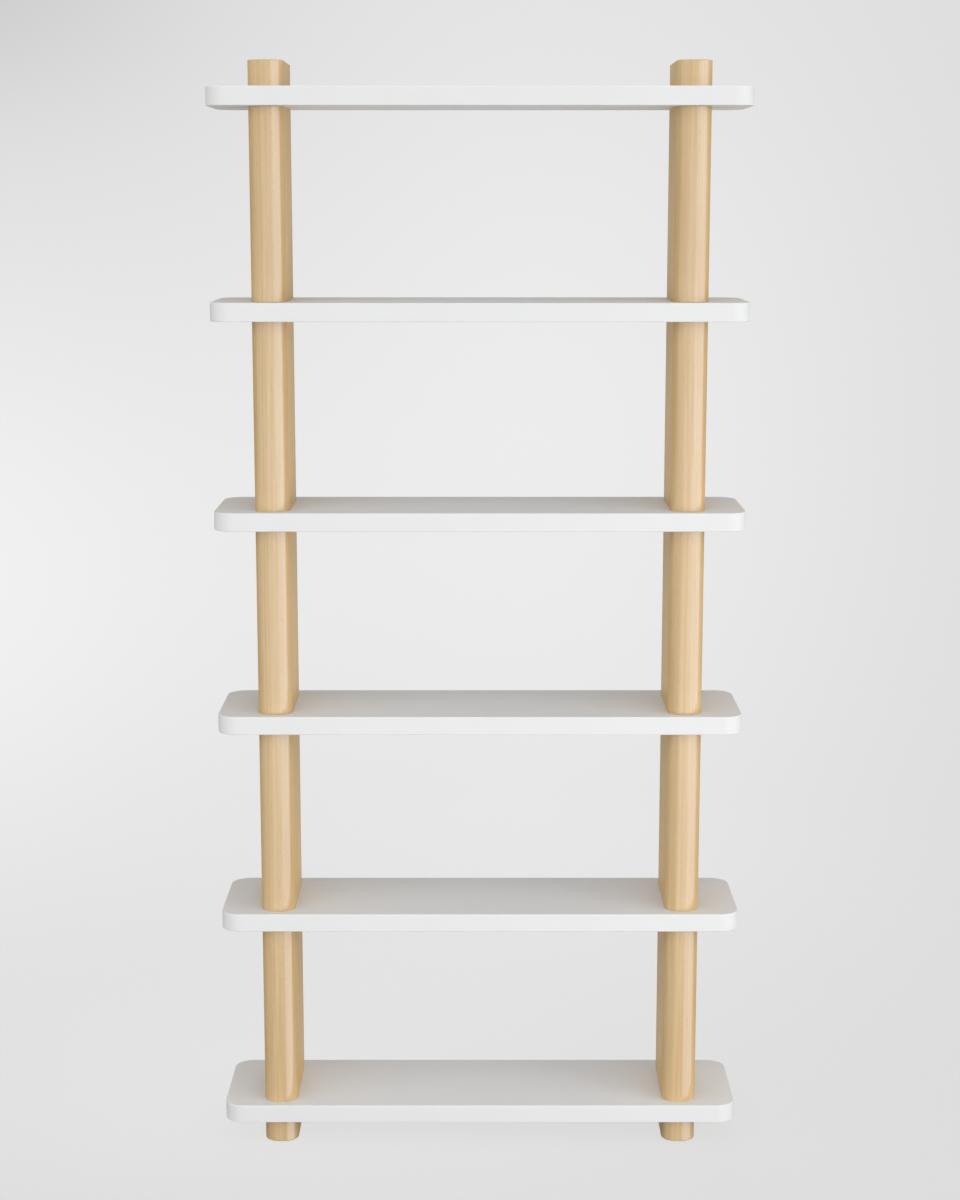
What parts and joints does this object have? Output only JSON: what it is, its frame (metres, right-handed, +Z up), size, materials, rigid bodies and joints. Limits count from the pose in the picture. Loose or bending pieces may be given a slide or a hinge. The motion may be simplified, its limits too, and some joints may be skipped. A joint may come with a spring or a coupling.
{
  "type": "bookshelf",
  "caption": "Tall open bookshelf: white shelves with rounded corners stacked between lengths of two oblong light wood posts, which stand above the top shelf and below the bottom one as feet.",
  "frame": {"origin": "on the floor, under the middle of the bookshelf in width and depth", "axes": "+Z up, +X to the right of somebody facing the front, front facing -Y"},
  "size_m": [0.9144, 0.219, 1.9003],
  "materials": {
    "white_lacquer": "satin white lacquer on fibreboard",
    "light_wood": "satin clear finish, straight grain",
    "dowel_wood": "bare",
    "zinc_steel": "bright zinc plating",
    "glide_plastic": "matte nylon"
  },
  "bodies": {
    "root": {"bottom_shelf": "white_lacquer", "shelf_2": "white_lacquer", "shelf_3": "white_lacquer", "shelf_4": "white_lacquer", "shelf_5": "white_lacquer", "top_shelf": "white_lacquer", "left_foot": "light_wood", "left_post_1": "light_wood", "left_post_2": "light_wood", "left_post_3": "light_wood", "left_post_4": "light_wood", "left_post_5": "light_wood", "left_cap": "light_wood", "right_foot": "light_wood", "right_post_1": "light_wood", "right_post_2": "light_wood", "right_post_3": "light_wood", "right_post_4": "light_wood", "right_post_5": "light_wood", "right_cap": "light_wood", "locating_dowels": "dowel_wood", "tie_bolts": "zinc_steel", "tie_rods": "zinc_steel", "coupling_nuts": "zinc_steel", "clamp_washers": "zinc_steel", "top_nuts": "zinc_steel", "floor_glides": "glide_plastic"}
  },
  "joints": []
}
